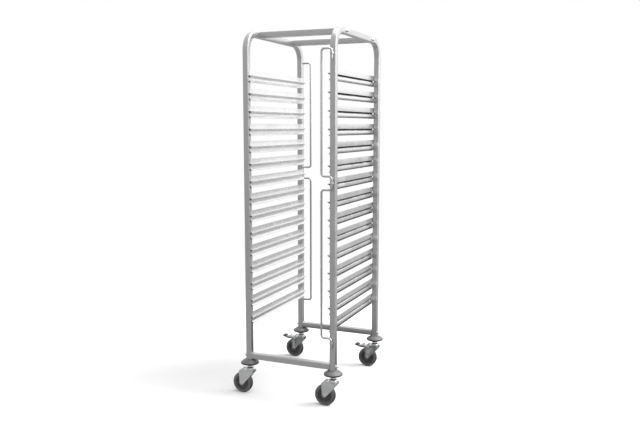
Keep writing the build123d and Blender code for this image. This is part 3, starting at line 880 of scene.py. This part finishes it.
# %% Turn an outline about an axis
def turned(outline, centre, axis, around=96):
    """Points, quads and UVs of a ring.

    An outline point is (radius r, height h). At angle t it is at
    centre + r cos t * first + r sin t * second + h * axis."""
    turn = np.linspace(0, 2 * math.pi, around, endpoint=False)
    first, second = {"Y": ((1, 0, 0), (0, 0, 1)), "Z": ((1, 0, 0), (0, 1, 0))}[axis]
    way = {"Y": (0, 1, 0), "Z": (0, 0, 1)}[axis]
    r, h = outline[:, 0], outline[:, 1]
    spoke = np.cos(turn)[:, None] * np.array(first) + np.sin(turn)[:, None] * np.array(second)
    grid = centre + spoke[:, None, :] * r[None, :, None] + h[None, :, None] * np.array(way)
    faces = grid_faces(around, len(outline), True)
    round_way = np.stack([turn, np.append(turn[1:], 2 * math.pi)], axis=1) * r.max()
    profile = lengths(outline, closed=True)
    u = np.repeat(round_way[:, None, [0, 0, 1, 1]], len(outline), axis=1)
    v = np.stack([profile[:-1], profile[1:], profile[1:], profile[:-1]], axis=1)
    uv = np.stack([u, np.broadcast_to(v, u.shape)], axis=-1).reshape(-1, 2)
    return grid.reshape(-1, 3), faces, uv


def rounded_outline(corners, radius, steps=4):
    """A closed outline with every corner rounded by its own radius."""
    corners = np.asarray(corners, dtype=float)
    radii = np.broadcast_to(radius, len(corners))
    pieces = []
    for k, here in enumerate(corners):
        three = np.stack([corners[k - 1], here, corners[(k + 1) % len(corners)]])
        pieces.append(rounded_path(three, radii[k], steps)[1:-1])
    return np.concatenate(pieces)


# %% [markdown]
# ## Wheels
#
# Seen from the side a wheel is a set of rings: a rounded tread, a groove where
# the rubber meets the moulded rim, a dished face and a raised boss at the
# axle. All of that is one outline for the tyre and one for the hub.


# %% Make the tyres and hubs
def both_sides(section):
    """A half section followed by its mirror image in the wheel's middle plane."""
    return section + [(r, -h) for r, h in reversed(section)]


for corner in CORNERS:
    low, high = span(f"castor_tyre_{corner}")
    centre = (low + high) / 2
    outer = (high[2] - low[2]) / 2
    half = (high[1] - low[1]) / 2
    ring_wall, ring_start, ring_end, ring_rim = outer - TYRE_RING
    section = [(outer - TYRE_DEPTH, -half), (ring_wall, -half)]
    section += [(ring_start, -half + TYRE_RING_DEPTH), (ring_end, -half + TYRE_RING_DEPTH)]
    section += [(ring_rim, -half), (outer, -half)]
    soft = np.array(TYRE_SOFTNESS + TYRE_SOFTNESS[::-1]) * MM
    outline = rounded_outline(both_sides(section), soft, steps=6)
    piece = make_piece(
        f"tyre_{corner}", *turned(outline, centre, "Y"), f"wheel_{corner}", "tyre_rubber",
        [f"castor_tyre_{corner}"], smooth_angle=50.0,
    )
    low, high = span(f"castor_hub_{corner}")
    boss = (high[1] - low[1]) / 2
    rim = (high[2] - low[2]) / 2
    section = [(HUB_BORE, -boss), (HUB_BOSS, -boss)]
    section += [(r * MM, -half + setback * MM) for r, setback in HUB_RINGS]
    section += [(rim - HUB_FLANGE_FOOT, -half + HUB_DISH), (rim - HUB_FLANGE, -half), (rim, -half)]
    outline = rounded_outline(both_sides(section), 0.5 * MM, steps=3)
    make_piece(
        f"hub_{corner}", *turned(outline, centre, "Y"), f"wheel_{corner}", "hub_plastic",
        [f"castor_hub_{corner}"], smooth_angle=40.0,
    )
print("a tyre has", len(piece.data.polygons), "faces")

# %% [markdown]
# ## Bumpers
#
# A bumper is a soft disc round the castor's stem. Its upper side is a shallow
# bell that rises to the upright, its rim is rounded, and its lower side
# tapers in to the neck of the castor.

# %% Make the bumpers
for corner in CORNERS:
    low, high = span(f"bumper_{corner}")
    centre = np.array([(low[0] + high[0]) / 2, (low[1] + high[1]) / 2, 0.0])
    radius = min(high[0] - low[0], high[1] - low[1]) / 2
    base, top = low[2], high[2]
    collar = tube / 2 + BUMPER_COLLAR
    rim_centre, rim_middle = radius - RIM_ROUND, base + RIM_HEIGHT
    bell_foot = np.array([rim_centre, rim_middle + RIM_HALF])
    slope = np.array([collar, top]) - bell_foot
    outward = np.array([slope[1], -slope[0]]) / np.linalg.norm(slope)
    t = np.linspace(0, 1, 25)[:, None]
    bell = bell_foot + slope * t + outward * BUMPER_BULGE * 4 * t * (1 - t)
    bell[-1] = (collar, top - TOP_CHAMFER_DOWN)
    angle = np.linspace(-math.pi / 2, math.pi / 2, 13)[1:-1]
    rim_r = rim_centre + RIM_ROUND * np.cos(angle)
    rim_line = np.stack([rim_r, rim_middle + RIM_HALF * np.sin(angle)], axis=1)
    under = [(BUMPER_BORE, base), (NECK_RADIUS, base), (TAPER_RADIUS, base + TAPER_RISE)]
    under += [(rim_centre, rim_middle - RIM_HALF)]
    lip = [(collar - TOP_CHAMFER_ACROSS, top), (BUMPER_BORE, top)]
    outline = np.concatenate([under, rim_line, bell, lip])
    make_piece(
        f"bumper_{corner}_skin", *turned(outline, centre, "Z", around=72), "rack",
        "bumper_plastic", [f"bumper_{corner}"], smooth_angle=50.0,
    )

# %% [markdown]
# ## Pressed and turned hardware
#
# Forks, pedals, bolts and pins already have the right shape. What they lack is
# the small radius that every real edge has, the one that catches a line of
# light. A copy of the mesh is merged, its flat faces are joined, and a Bevel
# modifier rounds every edge sharper than a limit.


# %% Round the edges of a copied part
def merge_flats(scratch):
    """Joins a tessellated part's loose triangles and the faces that lie flush."""
    bmesh.ops.remove_doubles(scratch, verts=scratch.verts, dist=1e-6)
    bmesh.ops.dissolve_limit(
        scratch, angle_limit=math.radians(0.4), verts=scratch.verts, edges=scratch.edges,
        use_dissolve_boundaries=False,
    )


def soften(node, body, slot, width):
    """A copy of a frame part with rounded edges that stands in for it."""
    mesh = frame["nodes"][node].data.copy()
    mesh.name = f"{node}_soft"
    refine(mesh, merge_flats)
    mesh.shade_smooth()
    mesh.materials.clear()
    mesh.materials.append(finishes[slot])
    piece = add_object(f"{node}_soft", mesh)
    bevel = piece.modifiers.new("edges", "BEVEL")
    bevel.width = width
    bevel.segments = 2
    bevel.limit_method = "ANGLE"
    bevel.angle_limit = math.radians(38)
    bevel.use_clamp_overlap = True
    bevel.harden_normals = True
    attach(piece, body)
    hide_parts(node)


soften("crossbar_bolts", "rack", "fastener_steel", 0.4 * MM)
for end in ("front", "rear"):
    soften(f"hinge_eyes_{end}", "rack", "rod_steel", 0.5 * MM)
for corner in CORNERS:
    soften(f"castor_stem_{corner}", "rack", "castor_steel", 0.4 * MM)
    soften(f"castor_fork_{corner}", f"swivel_{corner}", "castor_steel", 0.7 * MM)
    soften(f"castor_axle_{corner}", f"swivel_{corner}", "fastener_steel", 0.4 * MM)
    if corner in BRAKED:
        soften(f"brake_pin_{corner}", f"swivel_{corner}", "castor_steel", 0.6 * MM)
        soften(f"brake_pedal_{corner}", f"pedal_{corner}", "castor_steel", 0.5 * MM)
        soften(f"pedal_pad_{corner}", f"pedal_{corner}", "pad_plastic", 0.5 * MM)
print("softened parts done")

# %% [markdown]
# ## Finishes for the parts that stay as they are
#
# The plugs, the threaded blocks and the swivel balls are almost hidden. They
# keep their meshes and take the finish of their slot.

# %% Give every shown frame part its finish
slots = {row["node"]: row["material_slot"] for row in frame["record"]["subparts"]}
for node, part in frame["nodes"].items():
    for socket in part.material_slots:
        socket.material = finishes[slots[node]]
